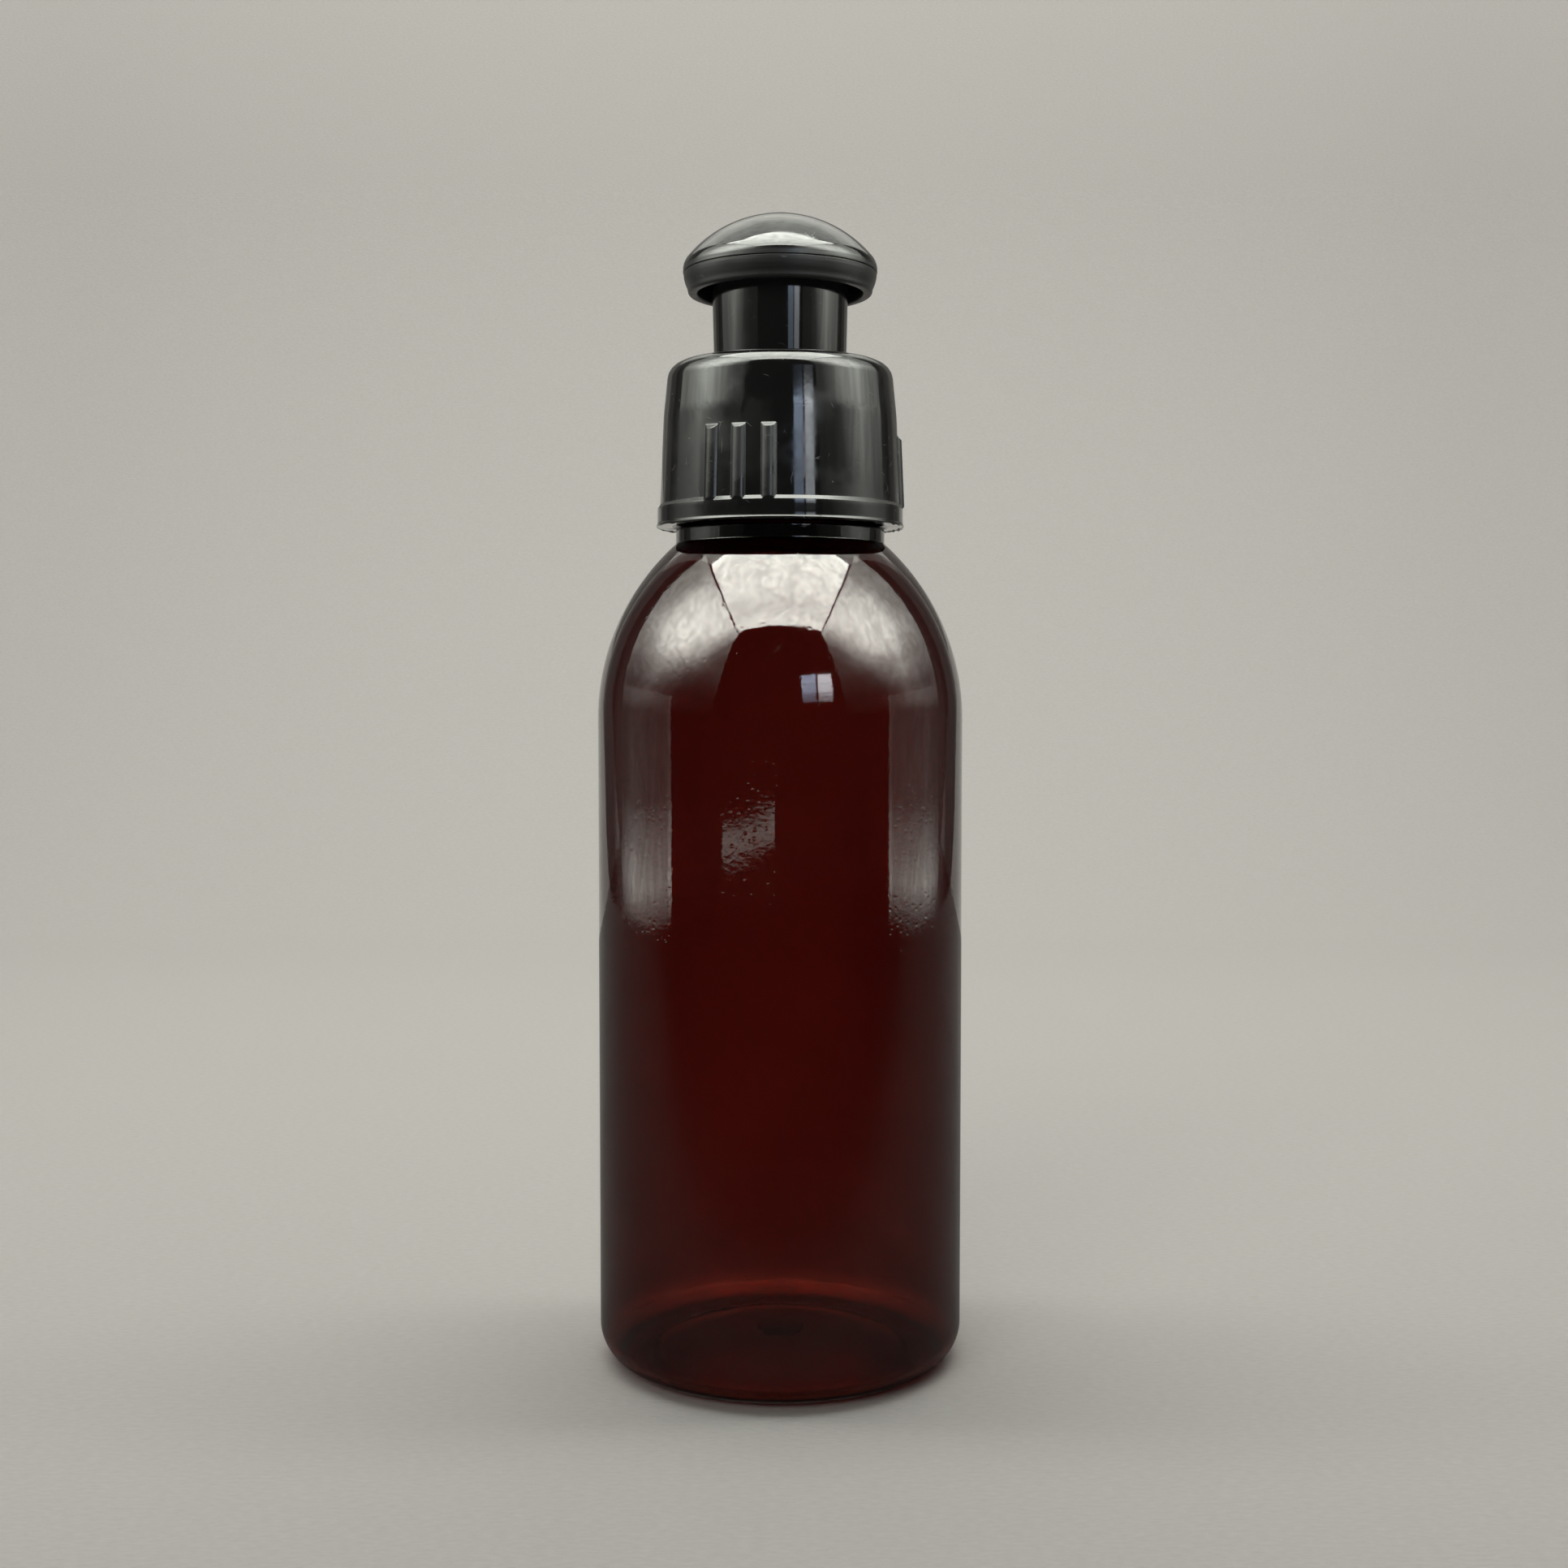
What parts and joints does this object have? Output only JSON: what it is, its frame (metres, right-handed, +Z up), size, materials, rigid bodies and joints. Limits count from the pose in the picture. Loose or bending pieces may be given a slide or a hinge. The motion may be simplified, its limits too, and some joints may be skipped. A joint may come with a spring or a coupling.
{
  "type": "oil bottle with pull-top closure",
  "caption": "Round see-through plastic oil bottle with a ribbed screw closure and a mushroom head that pulls up to pour and pushes down to shut.",
  "frame": {"origin": "centre of the base, on the surface that the bottle stands on", "axes": "+Z up along the bottle's axis, -Y towards the viewer of the picture, +X to the viewer's right"},
  "size_m": [0.042, 0.042, 0.1313],
  "materials": {
    "amber_plastic": "polished see-through moulding, dark red-brown",
    "liner_foam": "smooth soft foam",
    "black_plastic": "glossy moulding with fine scuffs",
    "black_head_plastic": "polished crown over a satin band"
  },
  "bodies": {
    "bottle": {"bottle": "amber_plastic"},
    "liner": {"sealing_liner": "liner_foam"},
    "closure": {"closure_base": "black_plastic"},
    "pull_top": {"pull_top": "black_head_plastic"}
  },
  "joints": [
    {"name": "closure_lift", "type": "slide", "parent": "bottle", "child": "liner", "axis": [0, 0, 1], "range_m": [0, 0.00476]},
    {"name": "closure_twist", "type": "hinge", "parent": "liner", "child": "closure", "pos_m": [0, 0, 0.105], "axis": [0, 0, 1], "range_deg": [0, 540]},
    {"name": "pull", "type": "slide", "parent": "closure", "child": "pull_top", "axis": [0, 0, 1], "range_m": [-0.0045, 0]}
  ],
  "couplings": [
    {"joint": "closure_lift", "follows": "closure_twist", "m_per_rad": 0.00050532}
  ]
}
